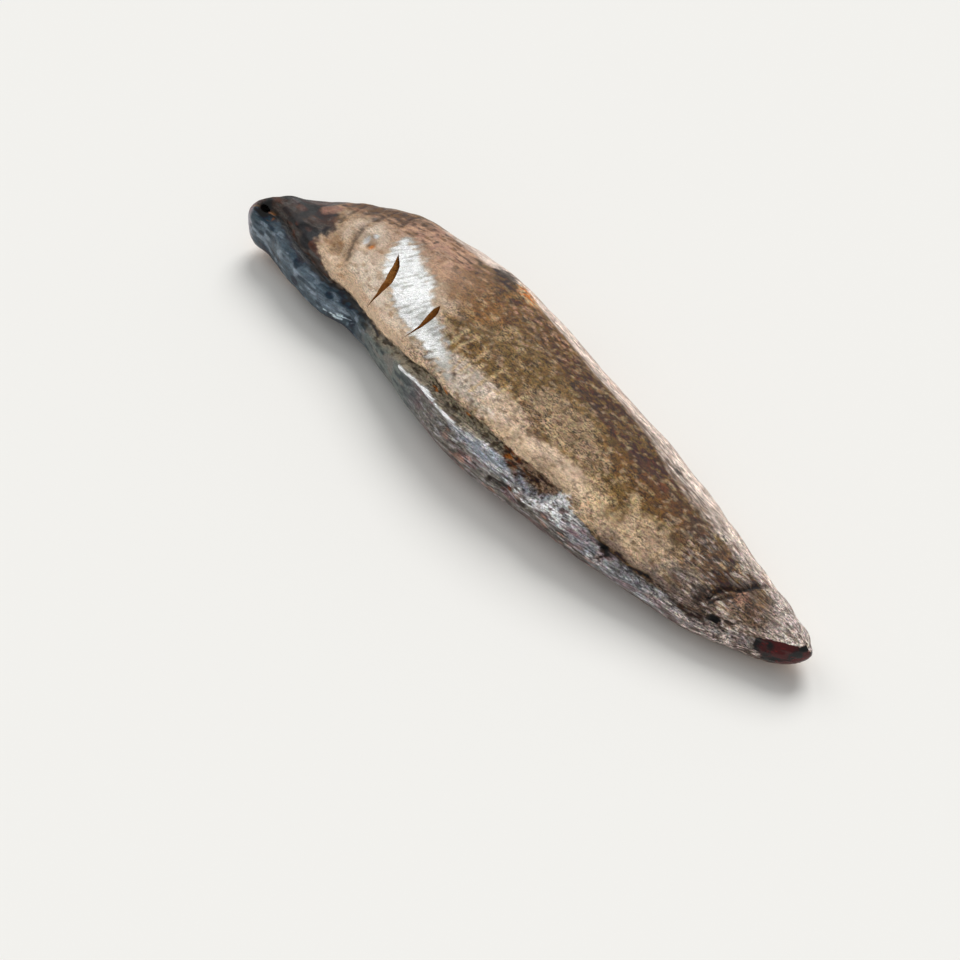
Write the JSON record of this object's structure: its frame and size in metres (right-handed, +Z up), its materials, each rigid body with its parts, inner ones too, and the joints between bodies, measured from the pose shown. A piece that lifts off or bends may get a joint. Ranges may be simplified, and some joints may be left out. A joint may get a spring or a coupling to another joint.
{
  "type": "smoked fish fillet",
  "caption": "Long dried and smoked fish fillet, blunt at the head end and pointed at the tail, lying skin side up on its flat cut face.",
  "frame": {"origin": "centre of the bounding box in plan, on the plane of the flat cut face that the fillet rests on", "axes": "+X from the blunt head end to the pointed tail tip, +Y towards the far flank with the bevelled edge, away from the rolled belly band, +Z up out of the skin side"},
  "size_m": [0.206, 0.054, 0.0284],
  "materials": {
    "cured_flesh": "satin, fibrous, with glossy patches near the head end and a glassy dark red tail tip"
  },
  "bodies": {
    "root": {"fillet": "cured_flesh"}
  },
  "joints": []
}
